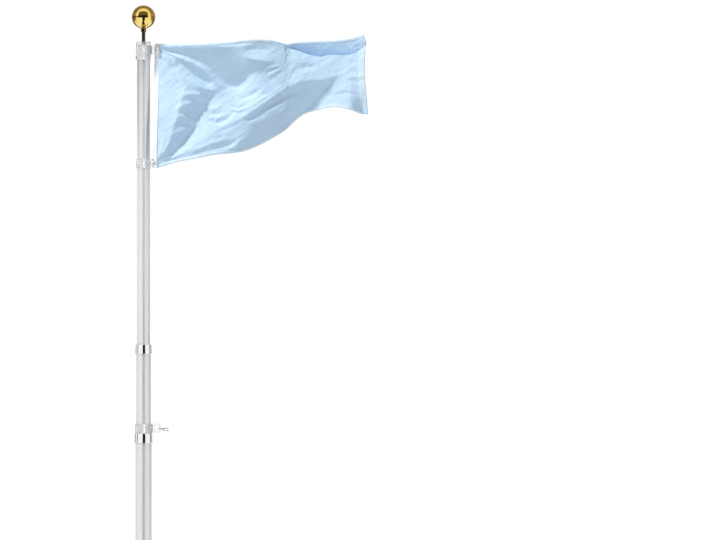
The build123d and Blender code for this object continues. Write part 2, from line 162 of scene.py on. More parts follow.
def mix_surface(owner, factor, first, second, end):
    """The end node shows the first shader, and the second one where the factor is 1."""
    mix = add_node(owner, "ShaderNodeMixShader")
    owner.node_tree.links.new(factor, mix.inputs["Fac"])
    owner.node_tree.links.new(first, mix.inputs[1])
    owner.node_tree.links.new(second, mix.inputs[2])
    link(owner, mix, "Shader", end, "Surface")


def noise(material, scale, stretch=(1, 1, 1), detail=3.0, coordinates="Object", turn=(0, 0, 0)):
    """Noise over the object, drawn out along turned axes by the stretch of each."""
    place = add_node(material, "ShaderNodeTexCoord")
    mapping = add_node(material, "ShaderNodeMapping", Rotation=turn, Scale=stretch)
    mapping.vector_type = "TEXTURE"
    texture = add_node(material, "ShaderNodeTexNoise", Scale=scale, Detail=detail)
    link(material, place, coordinates, mapping, "Vector")
    link(material, mapping, "Vector", texture, "Vector")
    return texture


def spread(material, texture, low, high):
    """A noise texture's usual values mapped to a range."""
    span = add_node(material, "ShaderNodeMapRange", From_Min=NOISE_LOW, From_Max=NOISE_HIGH,
                    To_Min=low, To_Max=high)
    link(material, texture, "Fac", span, "Value")
    return span


def rough(material, texture, low, high):
    """The roughness runs between two values with a noise texture."""
    link(material, spread(material, texture, low, high), "Result", principled(material), "Roughness")


def two_colors(material, texture, low, high):
    """The base colour runs between two colours with a noise texture."""
    ramp = add_node(material, "ShaderNodeValToRGB")
    ends = ((NOISE_LOW, low), (NOISE_HIGH, high))
    for element, (position, color) in zip(ramp.color_ramp.elements, ends):
        element.position = position
        element.color = (*color, 1)
    link(material, texture, "Fac", ramp, "Fac")
    link(material, ramp, "Color", principled(material), "Base Color")


def bump(material, source, output, distance, strength):
    node = add_node(material, "ShaderNodeBump", Distance=distance, Strength=strength)
    link(material, source, output, node, "Height")
    link(material, node, "Normal", principled(material), "Normal")
    return node


def anodised_tube():
    """Satin aluminium with drawing lines along the tube and faint handling marks."""
    material = new_material("anodised_tube", (0.86, 0.865, 0.87), metallic=0.7, roughness=0.4)
    lines = noise(material, scale=1100, stretch=(1, 1, 80), detail=2.0)
    marks = noise(material, scale=9, stretch=(1, 1, 2), detail=5.0)
    rough(material, marks, 0.36, 0.46)
    two_colors(material, marks, (0.84, 0.85, 0.855), (0.88, 0.885, 0.89))
    bump(material, lines, "Fac", distance=0.00002, strength=0.6)
    return material


def chrome():
    """Bright plating with the slightest smears."""
    material = new_material("chrome_collar", (0.9, 0.9, 0.905), metallic=1.0, roughness=0.06)
    smears = noise(material, scale=30, stretch=(1, 1, 2.5), detail=6.0)
    ripple = noise(material, scale=160, detail=1.0)
    rough(material, smears, 0.04, 0.11)
    two_colors(material, smears, (0.87, 0.87, 0.88), (0.92, 0.92, 0.925))
    bump(material, ripple, "Fac", distance=0.00003, strength=0.5)
    return material


def gold(name, low, high, roughness, **sockets):
    """Polished gold-coloured metal with faint polishing marks round the axis."""
    material = new_material(name, high, metallic=1.0, roughness=roughness[0], **sockets)
    polish = noise(material, scale=60, stretch=(1, 1, 0.16), detail=5.0)
    tone = noise(material, scale=22, detail=2.0)
    rough(material, polish, *roughness)
    two_colors(material, tone, low, high)
    bump(material, polish, "Fac", distance=0.00002, strength=0.4)
    return material


def clear_plastic():
    """Clear moulded plastic with faint flow lines and a slightly hazy surface."""
    material = new_material("clear_plastic", (0.96, 0.965, 0.965), roughness=0.15,
                            IOR=1.49, Transmission_Weight=0.85)
    flow = noise(material, scale=70, stretch=(1, 1, 0.4))
    rough(material, flow, 0.12, 0.2)
    two_colors(material, flow, (0.96, 0.965, 0.965), (0.99, 0.99, 0.99))
    bump(material, flow, "Fac", distance=0.00003, strength=0.1)
    return material


def moulded_plastic(name, low, high, roughness):
    """Opaque plastic with a fine moulded grain."""
    material = new_material(name, high, roughness=roughness[0])
    grain = noise(material, scale=900, detail=2.0)
    tone = noise(material, scale=40)
    rough(material, tone, *roughness)
    two_colors(material, tone, low, high)
    bump(material, grain, "Fac", distance=0.00006, strength=0.6)
    return material


def wire_steel(name, low, high, metallic):
    """Drawn and bent steel wire."""
    material = new_material(name, high, metallic=metallic, roughness=0.35)
    drawn = noise(material, scale=700, stretch=(5, 1, 1), detail=2.0)
    tone = noise(material, scale=120)
    rough(material, tone, 0.28, 0.42)
    two_colors(material, tone, low, high)
    bump(material, drawn, "Fac", distance=0.00003, strength=0.5)
    return material


def weave(material, pitch):
    """Warp and weft as bump, on a UV map laid out in metres: gives the noise of their slub and the bump."""
    place = add_node(material, "ShaderNodeTexCoord")
    slub = add_node(material, "ShaderNodeTexNoise", Scale=90.0, Detail=2.0)
    link(material, place, "UV", slub, "Vector")
    threads = []
    wave_scale = 2 * pi / 20 / pitch  # at scale s a wave texture has 20 s / 2 pi bands to the metre
    for direction in ("X", "Y"):
        thread = add_node(material, "ShaderNodeTexWave", Scale=wave_scale, Distortion=0.4, Detail=1.0)
        thread.bands_direction = direction
        link(material, place, "UV", thread, "Vector")
        threads.append(thread.outputs["Fac"])
    crossing = math_node(material, "MULTIPLY", *threads)
    uneven = math_node(material, "ADD", crossing.outputs["Value"], slub.outputs["Fac"])
    return slub, bump(material, uneven, "Value", distance=0.0002, strength=0.35)


def creased(material, threads, depth):
    """Drag lines and crumple in the cloth under its threads; the lines rise from hoist foot to fly top."""
    lines = noise(material, scale=55, stretch=(6, 1, 1), turn=(0, radians(-34), 0))
    crumple = noise(material, scale=38, detail=4.0, coordinates="UV")
    both = math_node(material, "ADD", lines.outputs["Fac"], crumple.outputs["Fac"])
    under = add_node(material, "ShaderNodeBump", Distance=depth, Strength=1.0)
    link(material, both, "Value", under, "Height")
    link(material, under, "Normal", threads, "Normal")


def cloth(name, low, high, pitch, crease=0.0, **sockets):
    """Woven cloth with the pitch of its threads in metres, and creased to a depth over 0."""
    material = new_material(name, high, **sockets)
    slub, threads = weave(material, pitch)
    if crease:
        creased(material, threads, crease)
    tone = noise(material, scale=14, detail=4.0, coordinates="UV")
    two_colors(material, tone, low, high)
    rough(material, slub, 0.42, 0.6)
    return material


def paint(node, finish):
    for slot in node.material_slots:
        slot.material = finish


# Tint of the darker gold at a grazing angle, and the soft shine of the flag and its hems
dark_edge = (0.35, 0.28, 0.18, 1)
satin = {"Sheen_Weight": 0.25, "Sheen_Roughness": 0.4, "Specular_IOR_Level": 0.4}
flag_finish = cloth("flag_cloth", (0.57, 0.75, 0.94), (0.625, 0.795, 0.965), 0.0006, crease=0.004, **satin)
hem_finish = cloth("flag_hem", (0.66, 0.82, 0.95), (0.73, 0.86, 0.97), 0.0006, crease=0.003, **satin)
header_finish = cloth("header_tape", (0.84, 0.87, 0.91), (0.92, 0.94, 0.97), 0.0011,
                      Sheen_Weight=0.15, Sheen_Roughness=0.5, Specular_IOR_Level=0.3)
thread_finish = cloth("sewing_thread", (0.62, 0.77, 0.90), (0.72, 0.85, 0.95), 0.0005,
                      Sheen_Weight=0.3, Sheen_Roughness=0.4)

finishes = {
    "anodised_tube": anodised_tube(),
    "chrome_collar": chrome(),
    "gold": gold("gold", (0.82, 0.60, 0.15), (0.96, 0.77, 0.26), (0.04, 0.09)),
    "dark_gold_stem": gold("dark_gold_stem", (0.13, 0.09, 0.035), (0.20, 0.15, 0.07), (0.24, 0.34),
                           Specular_Tint=dark_edge),
    "clear_plastic": clear_plastic(),
    "black_plastic": moulded_plastic("black_plastic", (0.018, 0.018, 0.02), (0.03, 0.03, 0.032),
                                     (0.45, 0.6)),
    "nylon": moulded_plastic("nylon", (0.82, 0.82, 0.79), (0.88, 0.88, 0.85), (0.4, 0.5)),
    "steel": wire_steel("wire_steel", (0.36, 0.37, 0.38), (0.50, 0.51, 0.52), metallic=1.0),
    "eyelet_brass": gold("eyelet_brass", (0.76, 0.74, 0.68), (0.84, 0.82, 0.77), (0.25, 0.38)),
    "header_tape": header_finish,
    "flag_cloth": flag_finish,
}
for part in frame["record"]["subparts"]:
    paint(nodes[part["node"]], finishes[part["material_slot"]])

# The ferrule is darker than the ball, and the wire clips are paler than the snap hook
paint(nodes["finial_ferrule"], gold("ferrule_gold", (0.28, 0.15, 0.045), (0.38, 0.22, 0.07), (0.14, 0.22),
                                    Specular_Tint=dark_edge))
clip_finish = wire_steel("clip_steel", (0.74, 0.75, 0.75), (0.84, 0.845, 0.845), metallic=0.7)
paint(nodes["clip_upper"], clip_finish)
paint(nodes["clip_lower"], clip_finish)


# Shape of the flag

# Metres to a pixel of the photo, and the pixels of the pole's axis and of the upper ring's hole
PIXEL = 0.00327
AXIS_PIXEL = 143.6
RING_PIXEL = 50.59
MILLIMETRE = 0.001

# Points on each span of a spline
SPAN_POINTS = 24


def front(px, py):
    """Front-view place of a photo pixel: x from the pole's axis and z above the upper ring's hole."""
    return (px - AXIS_PIXEL) * PIXEL, (RING_PIXEL - py) * PIXEL


def to_pixels(x, z):
    """Photo pixel of a front-view place."""
    return x / PIXEL + AXIS_PIXEL, RING_PIXEL - z / PIXEL


def front_line(points):
    """A drawn line in metres; its points are pixels of the photo and a depth in millimetres."""
    return [(*front(px, py), depth * MILLIMETRE) for px, py, depth in points]


def bearing(turn):
    """Direction on the ground, in degrees from the front view's right."""
    return np.array((cos(radians(turn)), sin(radians(turn))))


def smooth(share):
    """A share from 0 to 1, eased at both ends."""
    return share * share * (3 - 2 * share)


def hoist_frame(share):
    """Centre of the header at a share of its drop, and the direction across it."""
    straight = HEADER_STRAIGHT / (FLAG_TOP - FLAG_FOOT)
    eased = smooth(min(1.0, max(0.0, (share - straight) / (1 - 2 * straight))))
    foot = bearing(LOWER_RING_TURN) * HEADER_FOOT_REACH
    centre = HEADER_TOP + (foot - HEADER_TOP) * eased
    height = FLAG_TOP + (FLAG_FOOT - FLAG_TOP) * share
    return np.array((*centre, height)), np.array((*bearing(LOWER_RING_TURN * eased), 0.0))


def on_hoist(share):
    """Hoist edge of the cloth in the front view's terms: x, z from the ring, depth."""
    centre, direction = hoist_frame(share)
    x, y, z = centre + direction * (HEADER_WIDTH / 2 - HEADER_OVERLAP)
    return x, z - RING_HEIGHT, y


def resample(line, count, axes=3):
    """The same line with evenly spaced points, measured over its first axes."""
    steps = np.linalg.norm(np.diff(line[:, :axes], axis=0), axis=1)
    along = np.concatenate(((0,), np.cumsum(steps)))
    wanted = np.linspace(0, along[-1], count)
    return np.stack([np.interp(wanted, along, column) for column in line.T], axis=1)


def spline(points, count):
    """Points along a smooth curve through the given ones, evenly spaced in the front view."""
    p = np.array(points, float)
    p = np.vstack((2 * p[0] - p[1], p, 2 * p[-1] - p[-2]))
    t = np.linspace(0, 1, SPAN_POINTS, endpoint=False)[:, None]
    runs = []
    for a, b, c, d in zip(p[:-3], p[1:-2], p[2:-1], p[3:]):
        square = (2 * a - 5 * b + 4 * c - d) * t**2
        cube = (3 * b - a - 3 * c + d) * t**3
        runs.append(0.5 * (2 * b + (c - a) * t + square + cube))
    return resample(np.vstack((*runs, p[-2])), count, axes=2)


# Outline: pixels of the photo, and depth in millimetres
hoist_top = on_hoist(0.0)
hoist_foot = on_hoist(1.0)
top_line = [hoist_top] + front_line([
    (180, 44.5, -3), (200, 44.4, -12), (225, 43.5, -22), (240, 41.9, -25), (257, 40.8, -25),
    (272, 41.6, -16), (286, 44.6, 6), (296, 42.8, 22), (309, 41.6, 32), (332, 40.4, 36),
    (349, 38.5, 34), (363.5, 35, 26),
])
fly_line = front_line([
    (363.5, 35, 26), (366.6, 44.3, 38), (365.3, 45.6, -10), (364.4, 60, -16), (364.6, 80, -22),
    (366.3, 97, -22), (368, 115, -9),
])
foot_line = [hoist_foot] + front_line([
    (180, 162.4, -46), (198, 159, -38), (215, 155.4, -24), (240, 152.3, 0), (257, 146, 30),
    (274, 136.6, 42), (285, 129.5, 45), (302, 114.8, 42), (320, 109.6, 10), (335, 107.3, -14),
    (348, 109.9, -25), (355, 112.2, -19), (361, 114.5, -2), (368, 115, -9),
])
hoist_line = [on_hoist(share) for share in np.linspace(0, 1, 9)]

# Roll: the top edge falls behind this ridge, turns forward behind the cloth and comes up again inside it
roll_ridge = [
    (276, 42.6, -13), (280, 44.0, -10), (289, 48.0, -6), (300, 51.4, -4), (310, 54.9, -3),
    (321, 57.2, -3), (330, 54.7, -3), (347, 55.4, -5), (357, 52.4, -7), (363.6, 46.8, -8),
    (368, 44.4, -8),
]
ROLL_START = 276.0  # pixel across where the roll starts
DROP_START = 280.0  # pixel across where it starts to drop behind its ridge
DROP_FULL = 362.0  # pixel across where it has dropped in full
ROLL_DROP = 25.0  # that drop, in pixels
ROLL_OPENING = 6  # how many times faster it opens than it drops
ROLL_LEAN = 0.03  # metres that its lower turn lies behind the top edge

# Creases inside the outline: ridges and valleys
creases = [
    # crest under the top hem, and the valley where the dark upper hollow ends
    [(164, 47.4, -2), (200, 47.8, -14), (225, 47.3, -25), (243, 46.8, -27), (262, 45.4, -19),
     (275, 46.5, -13)],
    [(163, 50, 3), (185, 55.5, 7), (200, 61.5, 11), (209, 67, 16), (219, 78, 25), (231, 86, 33),
     (237.5, 86.3, 32), (245, 80, 18), (250, 74.5, 2), (257, 70.5, -8), (265, 67.5, -15), (271, 66, -20)],
    [(241, 94, 17), (252, 84, 2), (262, 77, -9), (274, 70, -17)],
    # bulge that pushes into the hollow from the right
    [(243, 50.5, -25), (244.5, 55, -24), (248, 59, -26), (256, 61, -29), (265, 62, -27), (273, 63, -23)],
    [(248, 50.5, -20), (262, 50, -17), (276, 53, -17), (290, 58, -15), (304, 63, -14), (318, 66, -13)],
    # bright band under the hollow, and the small valley below it
    [(162, 53, -2), (176, 57.5, -3), (190, 62.5, -2), (203, 69, 2), (213, 79, 11), (225, 90, 23),
     (236, 97, 18)],
    [(177, 61, 5), (187, 68, 12), (195, 75, 19), (204, 81, 24), (209, 84, 25)],
    # ridge beside the hoist and the valley right of it
    [(176, 71, -5), (184, 79, -9), (196, 84.5, -3), (206, 88.5, 5), (213, 91, 11)],
    [(187, 87, -12), (184, 95, -20), (181, 105, -28), (177, 120, -38), (171, 140, -48), (164, 157, -53)],
    [(212, 93, 19), (210, 98, 22), (205, 107, 20), (199, 115, 14), (193, 128, 0), (184, 143, -16),
     (172, 157, -40)],
    # long ridge from the lower hoist corner to the upper right
    [(165, 164.6, -51), (176, 158.6, -46), (190, 149, -34), (206, 138.5, -21), (223, 128, -9),
     (242, 119.5, -9), (263, 104.5, -16), (281, 92.5, -19), (299, 83, -20), (311, 80.5, -18),
     (324, 81, -17), (336, 77, -14)],
    # light tongue inside the dark band: the valley above it, then its upper and lower side
    [(248, 119.5, -2), (256, 114.5, -1), (265, 109, -1), (277, 102, -2), (288, 96.5, -3), (296, 93, -3)],
    [(248, 122.5, -6), (258, 118, -7), (269.4, 112, -8), (281, 105.5, -7), (290, 101, -6),
     (295.6, 98.4, -4), (283, 111, -5), (268, 119, -3), (258.5, 125, 0), (252, 132, -1),
     (243, 140.6, -6), (236, 147.9, -10)],
    # valley where the dark band meets the light corner
    [(335, 78.5, -10), (329, 85.5, -2), (320, 95, 10), (311, 104.5, 24), (303.5, 112.5, 38)],
    # light corner, and the small dark dent at its foot beside the fly hem
    [(348, 66, -13), (350, 80, -20), (350, 97, -26), (352, 104, -26), (353, 110.5, -24)],
    [(361, 100, -17), (361.3, 106, -7), (361.3, 111.5, -3)],
]

# Small wrinkles: (rise, half width in pixels, places)
wrinkles = [
    (-4.5, 2.0, [(160, 51.5), (169, 55.5), (179, 60)]),
    (-3.5, 1.6, [(159, 49.5), (169, 51.2), (182, 54)]),
    (3.0, 1.8, [(160, 54), (166, 59), (172, 66)]),
    (2.5, 2.0, [(163, 62), (172, 72), (177, 84)]),
    (-2.0, 1.8, [(168, 66), (176, 75), (181, 84)]),
    (-2.2, 1.6, [(198, 83), (206, 87), (213, 90)]),
    (-2.2, 1.6, [(199, 90), (205, 94), (210, 98)]),
    (-4.0, 2.6, [(238, 100), (250, 96), (260, 90)]),
    (-2.5, 2.0, [(262, 96.5), (268, 95), (274, 92)]),
    (3.0, 1.8, [(262, 71), (270, 68.5), (282, 67)]),
    (-2.5, 1.4, [(268, 71), (273, 69.5), (279, 69)]),
    (3.0, 1.8, [(268, 77), (275, 73), (282, 69)]),
    (2.5, 1.8, [(244, 112), (262, 99.5), (282, 87)]),
    (3.0, 2.0, [(203, 112), (208, 118), (216, 119.5), (225, 115)]),
    (-3.5, 1.8, [(205, 109), (211, 114.5), (217, 115), (222, 112)]),
    (3.0, 1.8, [(206, 106), (213, 110), (221, 107)]),
    (-5.0, 2.8, [(208, 120), (217, 123.5), (226, 120), (233, 114)]),
    (-3.0, 1.6, [(230, 107), (238, 109), (248, 105)]),
    (3.0, 1.6, [(230, 109.5), (238, 111.3), (247, 108)]),
    (-3.0, 1.6, [(230, 111.5), (238, 113.6), (246, 111)]),
    (5.5, 2.6, [(177, 111), (185, 105.5), (194, 103)]),
    (7.5, 2.8, [(178, 116), (190, 121.5), (201, 126)]),
    (6.0, 2.4, [(184, 96), (194, 95), (204, 98)]),
    (-2.5, 1.3, [(200, 114), (204, 117), (208, 121)]),
    (2.5, 1.3, [(199, 116.5), (203, 119.5), (206, 123)]),
    (5.5, 2.6, [(174, 136), (184, 130), (194, 127)]),
    (3.0, 2.0, [(162, 158), (167, 149), (173, 141)]),
    (-5.0, 2.0, [(158, 165.5), (168, 162), (184, 158.5)]),
    (-3.5, 1.6, [(158, 163), (166, 157), (176, 150)]),
    (3.0, 1.8, [(159, 160), (163, 150), (166, 138)]),
    (3.5, 2.2, [(168, 163), (190, 153), (212, 144), (230, 139)]),
    (-3.5, 2.0, [(169, 162), (182, 157), (196, 151)]),
    (-3.0, 1.6, [(182, 160), (200, 154), (216, 149.5)]),
    (-4.5, 2.6, [(212, 150.5), (223, 147), (236, 143.5)]),
    (3.0, 2.2, [(224, 152), (234, 147), (243, 138)]),
    (-3.0, 2.4, [(246, 122), (256, 119), (268, 113)]),
    (-2.0, 2.0, [(215, 135), (230, 128), (244, 120)]),
    (-4.5, 3.6, [(298, 69), (307, 67.5), (317, 67)]),
    (-2.5, 1.5, [(222, 46.3), (238, 45.0), (252, 43.8)]),
    (-2.5, 1.6, [(350, 62), (356, 63.5), (362, 64)]),
    (-2.5, 1.6, [(353, 71.5), (357, 73), (362, 73.5)]),
    (-3.0, 1.7, [(347, 81.5), (354, 82), (361, 82)]),
    (2.5, 1.6, [(350, 78), (356, 77.5), (362, 78)]),
    (-2.5, 1.6, [(334, 96), (346, 93.5), (361, 96.5)]),
]
WRINKLE_UNIT = 0.0013  # metres that a rise of 1 comes towards the camera
WRINKLE_REACH = 1.8  # half widths from the line to where the wrinkle ends
WRINKLE_FLANK = 1.5  # powers that shape its flanks and its ends
WRINKLE_END = 0.6

# Map of the front's depth, in pixels
MAP_LOW = np.array((150.0, 30.0))
MAP_HIGH = np.array((374.0, 174.0))
MAP_LEVELS = ((4.0, 200), (2.0, 200), (1.0, 200), (0.5, 220))  # sizes of a cell, and rounds of smoothing
HELD_STEP = 0.2  # between the points where edges and creases hold the map


def along_line(points, step):
    """Points every step along a run of straight lines, with everything they carry."""
    p = np.array(points, float)
    count = int(np.linalg.norm(np.diff(p[:, :2], axis=0), axis=1).sum() / step) + 2
    return resample(p, count, axes=2)


def depth_map():
    """Depth of the cloth in front: a skin stretched over its edges and creases."""
    front_top = [place for place in top_line if to_pixels(place[0], 0)[0] < ROLL_START]
    edges = [front_top, fly_line[2:], foot_line, hoist_line]
    lines = [[(*to_pixels(x, z), depth) for x, z, depth in edge] for edge in edges]
    for crease in (roll_ridge, *creases):
        lines.append([(px, py, depth * MILLIMETRE) for px, py, depth in crease])
    fixed = np.vstack([along_line(line, HELD_STEP) for line in lines])
    skin = None
    for cell, rounds in MAP_LEVELS:
        size = ((MAP_HIGH - MAP_LOW) / cell).astype(int) + 1
        index = np.rint((fixed[:, :2] - MAP_LOW) / cell).astype(int)
        total, count = np.zeros(size), np.zeros(size)
        np.add.at(total, (index[:, 0], index[:, 1]), fixed[:, 2])
        np.add.at(count, (index[:, 0], index[:, 1]), 1)
        held = count > 0
        value = total / np.maximum(count, 1)
        if skin is None:
            skin = np.full(size, fixed[:, 2].mean())
        else:
            rows, columns = (np.minimum(np.arange(n) // 2, m - 1) for n, m in zip(size, skin.shape))
            skin = skin[rows][:, columns]
        for _ in range(rounds):
            skin[held] = value[held]
            wide = np.pad(skin, 1, mode="edge")
            skin = (wide[:-2, 1:-1] + wide[2:, 1:-1] + wide[1:-1, :-2] + wide[1:-1, 2:]) / 4
        skin[held] = value[held]
    return skin


def depth_at(skin, x, z):
    """Depth at many places of the front view, between the cells of the finest map."""
    cell = MAP_LEVELS[-1][0]
    px, py = to_pixels(x, z)
    a, b = (px - MAP_LOW[0]) / cell, (py - MAP_LOW[1]) / cell
    i = np.clip(a.astype(int), 0, skin.shape[0] - 2)
    j = np.clip(b.astype(int), 0, skin.shape[1] - 2)
    fa, fb = a - i, b - j
    near = skin[i, j] * (1 - fb) + skin[i, j + 1] * fb
    far = skin[i + 1, j] * (1 - fb) + skin[i + 1, j + 1] * fb
    return near * (1 - fa) + far * fa


def wrinkle(places, line, width):
    """A rounded fold along a line, fading at both ends: 1 on the line and 0 beyond its reach."""
    path = along_line(line, 1.0)
    crown = np.zeros(places.shape[:2])
    for point, share in zip(path, np.linspace(0, 1, len(path))):
        distance = np.hypot(places[..., 0] - point[0], places[..., 1] - point[1])
        across = np.clip(1 - distance / (WRINKLE_REACH * width), 0, 1) ** WRINKLE_FLANK
        crown = np.maximum(crown, across * sin(pi * share) ** WRINKLE_END)
    return crown


def rolled(x, z, front_depth, edge_depth):
    """Path of one thread from top to foot: down behind the roll's ridge, up inside it and down in front."""
    px, py = to_pixels(x, z)
    ridge_x, ridge_y, _ = zip(*roll_ridge)
    ridge = int(np.argmax(py >= np.where(px < ROLL_START, py[0], np.interp(px, ridge_x, ridge_y))))
    share = min(1.0, max(0.0, (px[ridge] - DROP_START) / (DROP_FULL - DROP_START)))
    turn = int(np.argmax(py >= py[ridge] + ROLL_DROP * share))
    opened = smooth(min(1.0, ROLL_OPENING * share))
    turn_depth = front_depth[ridge] * (1 - opened) + (edge_depth + ROLL_LEAN) * opened
    down = smooth(np.clip((py - py[0]) / max(py[turn] - py[0], 0.1), 0, 1))
    behind = np.stack((x, edge_depth * (1 - down) + turn_depth * down, z + RING_HEIGHT), axis=1)
    ahead = np.stack((x, front_depth, z + RING_HEIGHT), axis=1)
    inside = behind[ridge:turn][::-1].copy()
    if len(inside):
        way = smooth(np.linspace(0, 1, len(inside)))
        inside[:, 1] = turn_depth * (1 - way) + front_depth[ridge] * way
    return np.vstack((behind[:turn], inside, ahead[ridge:]))


def relax(grid, rounds):
    """The grid with its corners rounded; its outline moves only along itself."""
    for _ in range(rounds):
        eased = grid.copy()
        eased[1:-1, 1:-1] = (grid[:-2, 1:-1] + grid[2:, 1:-1] + grid[1:-1, :-2] + grid[1:-1, 2:]) / 4
        eased[1:-1, 0] = (grid[:-2, 0] + grid[2:, 0]) / 2
        eased[1:-1, -1] = (grid[:-2, -1] + grid[2:, -1]) / 2
        eased[-1, 1:-1] = (grid[-1, :-2] + grid[-1, 2:]) / 2
        grid = (grid + eased) / 2
    return grid


def grid_normals(grid):
    """Unit normals at a grid's points; the flag's point away from the camera."""
    normals = np.cross(np.gradient(grid, axis=0), np.gradient(grid, axis=1))
    return normals / np.linalg.norm(normals, axis=2)[..., None]


def designed_flag():
    """Points of the flag as drawn: hoist to fly along the first axis, top to foot along the second."""
    top, foot = spline(top_line, COLUMNS + 1), spline(foot_line, COLUMNS + 1)
    fly, hoist = resample(np.array(fly_line), FINE_ROWS, axes=2), spline(hoist_line, FINE_ROWS)
    u = np.linspace(0, 1, COLUMNS + 1)[:, None, None]
    t = np.linspace(0, 1, FINE_ROWS)[None, :, None]
    # Front-view places: each pair of edges is blended across the patch, less the corners counted twice
    patch = top[:, None, :2] * (1 - t) + foot[:, None, :2] * t
    patch = patch + hoist[None, :, :2] * (1 - u) + fly[None, :, :2] * u
    patch = patch - top[0, :2] * (1 - u) * (1 - t) - top[-1, :2] * u * (1 - t)
    patch = patch - foot[0, :2] * (1 - u) * t - foot[-1, :2] * u * t
    depth = depth_at(depth_map(), patch[..., 0], patch[..., 1])
    threads = [rolled(column[:, 0], column[:, 1], front_depth, edge[2])
               for column, front_depth, edge in zip(patch, depth, top)]
    grid = relax(np.stack([resample(thread, ROWS + 1) for thread in threads]), rounds=3)
    places = np.stack(to_pixels(grid[..., 0], grid[..., 2] - RING_HEIGHT), axis=2)
    rise = sum(wrinkle(places, line, width) * height for height, width, line in wrinkles)
    return grid - grid_normals(grid) * rise[..., None] * WRINKLE_UNIT


# Sheets as closed meshes


def grid_faces(rows, columns):
    """Quads between the points of a grid, numbered row by row."""
    index = np.arange(rows * columns).reshape(rows, columns)
    return np.stack((index[:-1, :-1], index[1:, :-1], index[1:, 1:], index[:-1, 1:]), axis=2).reshape(-1, 4)


def add_mesh(name, verts, faces, uvs, finish):
    """A smooth-shaded mesh object with a UV place to each of its points."""
    mesh = bpy.data.meshes.new(name)
    mesh.from_pydata(verts.tolist(), [], faces.tolist())
    layer = mesh.uv_layers.new(name="UVMap")
    corner_verts = np.empty(len(mesh.loops), np.int32)
    mesh.loops.foreach_get("vertex_index", corner_verts)
    layer.data.foreach_set("uv", np.asarray(uvs, np.float32)[corner_verts].ravel())
    mesh.polygons.foreach_set("use_smooth", np.full(len(mesh.polygons), True))
    mesh.materials.append(finish)
    mesh.validate()
    thing = bpy.data.objects.new(name, mesh)
    scene.collection.objects.link(thing)
    return thing


def slab(name, points, normals, faces, uv, thickness, finish):
    """A closed sheet of even thickness round a surface of quads."""
    count = len(points)
    verts = np.vstack((points + normals * thickness / 2, points - normals * thickness / 2))
    edges = np.stack((faces, np.roll(faces, -1, axis=1)), axis=2).reshape(-1, 2)
    _, first, shared = np.unique(np.sort(edges, axis=1), axis=0, return_index=True, return_counts=True)
    rim = edges[first[shared == 1]]
    sides = np.stack((rim[:, 0], rim[:, 1], rim[:, 1] + count, rim[:, 0] + count), axis=1)
    closed = np.vstack((faces[:, ::-1], faces + count, sides))
    return add_mesh(name, verts, closed, np.vstack((uv, uv)), finish)


def grid_slab(name, grid, uv, thickness, finish):
    """A closed sheet of even thickness round a grid of points."""
    faces = grid_faces(*grid.shape[:2])
    points, normals = grid.reshape(-1, 3), grid_normals(grid).reshape(-1, 3)
    return slab(name, points, normals, faces, uv.reshape(-1, 2), thickness, finish)


# Cloth run


def rolled_in(grid):
    """Which points of the grid lie in the roll, down to its ridge and just past it."""
    climbs = np.diff(grid[..., 2], axis=1) > CLIMB
    last = climbs.shape[1] - np.argmax(climbs[:, ::-1], axis=1)
    rows_in = np.where(climbs.any(axis=1), last + PAST_RIDGE, 0)
    return np.arange(grid.shape[1]) < rows_in[:, None]


def flat_cut(grid, flat):
    """The flat cut as a mesh object, keyed to turn into the drawn shape while it is pulled."""
    x, z = grid[0, 0, 0] + flat[..., 0], FLAG_FOOT + flat[..., 1]
    cut = np.stack((x, np.full_like(x, grid[0, 0, 1]), z), axis=2)
    mesh = bpy.data.meshes.new("settling")
    mesh.from_pydata(cut.reshape(-1, 3).tolist(), [], grid_faces(*grid.shape[:2]).tolist())
    thing = bpy.data.objects.new("settling", mesh)
    scene.collection.objects.link(thing)
    thing.shape_key_add(name="cut")
    drawn = thing.shape_key_add(name="drawn")
    drawn.data.foreach_set("co", grid.ravel())
    for share, when in ((0.0, 1), (1.0, PULL_FRAMES)):
        drawn.value = share
        drawn.keyframe_insert("value", frame=when)
    return thing


def settle(grid, flat):
    """Cloth run: the flat cut is pulled into the drawn shape, and wrinkles where it has cloth to spare."""
    thing = flat_cut(grid, flat)
    firm = rolled_in(grid)
    firm[0] = True
    group = thing.vertex_groups.new(name="held")
    group.add(list(range(firm.size)), PULL, "REPLACE")
    group.add(np.flatnonzero(firm).tolist(), 1.0, "REPLACE")
    modifier = thing.modifiers.new("cloth", "CLOTH")
    settings = modifier.settings
    settings.quality = 6
    settings.mass = 0.15
    settings.tension_stiffness = TENSION
    settings.compression_stiffness = TENSION
    settings.shear_stiffness = SHEAR
    settings.bending_stiffness = BENDING
    settings.air_damping = 2
    settings.vertex_group_mass = "held"
    settings.pin_stiffness = PULL_STIFFNESS
    settings.effector_weights.gravity = 0
    modifier.collision_settings.use_collision = False
    modifier.point_cache.frame_start = 1
    modifier.point_cache.frame_end = FRAMES
    for step in range(1, FRAMES + 1):
        scene.frame_set(step)
    settled = thing.evaluated_get(bpy.context.evaluated_depsgraph_get()).data
    places = np.empty(grid.size)
    settled.vertices.foreach_get("co", places)
    bpy.data.objects.remove(thing)
    scene.frame_set(1)
    return places.reshape(grid.shape)


